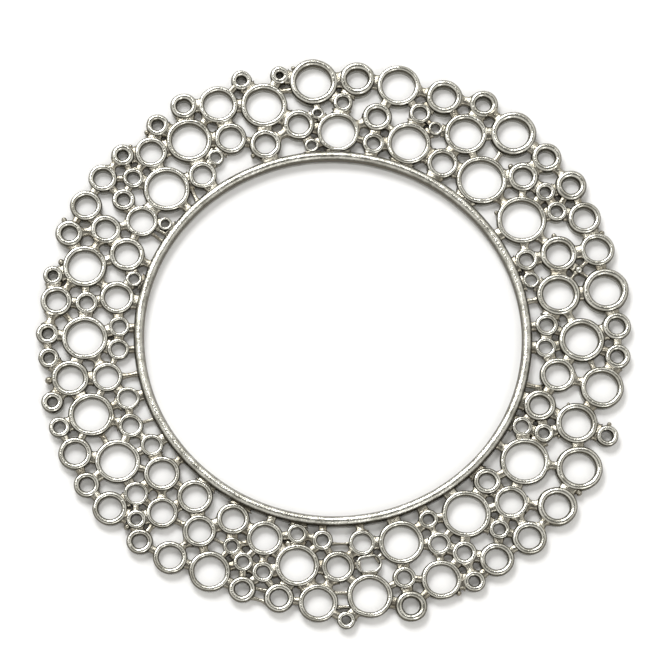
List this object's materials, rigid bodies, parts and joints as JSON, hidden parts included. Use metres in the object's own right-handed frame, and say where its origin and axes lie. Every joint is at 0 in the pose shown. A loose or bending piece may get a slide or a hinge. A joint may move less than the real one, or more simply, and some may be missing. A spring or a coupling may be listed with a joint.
{
  "type": "coin display frame",
  "caption": "Flat openwork frame for one large round coin: a heavy plain bezel ring inside a wide lacy band of small soldered ringlets.",
  "frame": {"origin": "middle of the coin opening, at the flat back", "axes": "+Z from the flat back to the round-crowned front, +X and +Y across the frame, +Y away from a viewer who reads it flat on a table"},
  "size_m": [0.0606, 0.0613, 0.0013],
  "materials": {
    "bezel_metal": "bright silver-coloured metal, softly polished, faint casting texture",
    "ringlet_metal": "bright silver-coloured metal, softly polished, faint casting texture",
    "solder": "silver solder, slightly dull and warm"
  },
  "bodies": {
    "root": {"bezel_ring": "bezel_metal", "ringlet_large_1": "ringlet_metal", "ringlet_large_2": "ringlet_metal", "ringlet_large_3": "ringlet_metal", "ringlet_large_4": "ringlet_metal", "ringlet_large_5": "ringlet_metal", "ringlet_large_6": "ringlet_metal", "ringlet_large_7": "ringlet_metal", "ringlet_large_8": "ringlet_metal", "ringlet_large_9": "ringlet_metal", "ringlet_large_10": "ringlet_metal", "ringlet_large_11": "ringlet_metal", "ringlet_large_12": "ringlet_metal", "ringlet_large_13": "ringlet_metal", "ringlet_large_14": "ringlet_metal", "ringlet_large_15": "ringlet_metal", "ringlet_large_16": "ringlet_metal", "ringlet_large_17": "ringlet_metal", "ringlet_large_18": "ringlet_metal", "ringlet_large_19": "ringlet_metal", "ringlet_large_20": "ringlet_metal", "ringlet_large_21": "ringlet_metal", "ringlet_large_22": "ringlet_metal", "ringlet_large_23": "ringlet_metal", "ringlet_large_24": "ringlet_metal", "ringlet_large_25": "ringlet_metal", "ringlet_large_26": "ringlet_metal", "ringlet_large_27": "ringlet_metal", "ringlet_large_28": "ringlet_metal", "ringlet_large_29": "ringlet_metal", "ringlet_large_30": "ringlet_metal", "ringlet_large_31": "ringlet_metal", "ringlets_medium_1": "ringlet_metal", "ringlets_medium_2": "ringlet_metal", "ringlets_medium_3": "ringlet_metal", "ringlets_medium_4": "ringlet_metal", "ringlets_medium_5": "ringlet_metal", "ringlets_medium_6": "ringlet_metal", "ringlets_medium_7": "ringlet_metal", "ringlets_medium_8": "ringlet_metal", "ringlets_small_1": "ringlet_metal", "ringlets_small_2": "ringlet_metal", "ringlets_small_3": "ringlet_metal", "ringlets_small_4": "ringlet_metal", "ringlets_mini_1": "ringlet_metal", "ringlets_mini_2": "ringlet_metal", "ringlets_mini_3": "ringlet_metal", "ringlets_mini_4": "ringlet_metal", "ringlets_tiny": "ringlet_metal", "oval_ringlet": "ringlet_metal", "bead": "ringlet_metal", "solder_joints": "solder", "posts": "solder"}
  },
  "joints": []
}
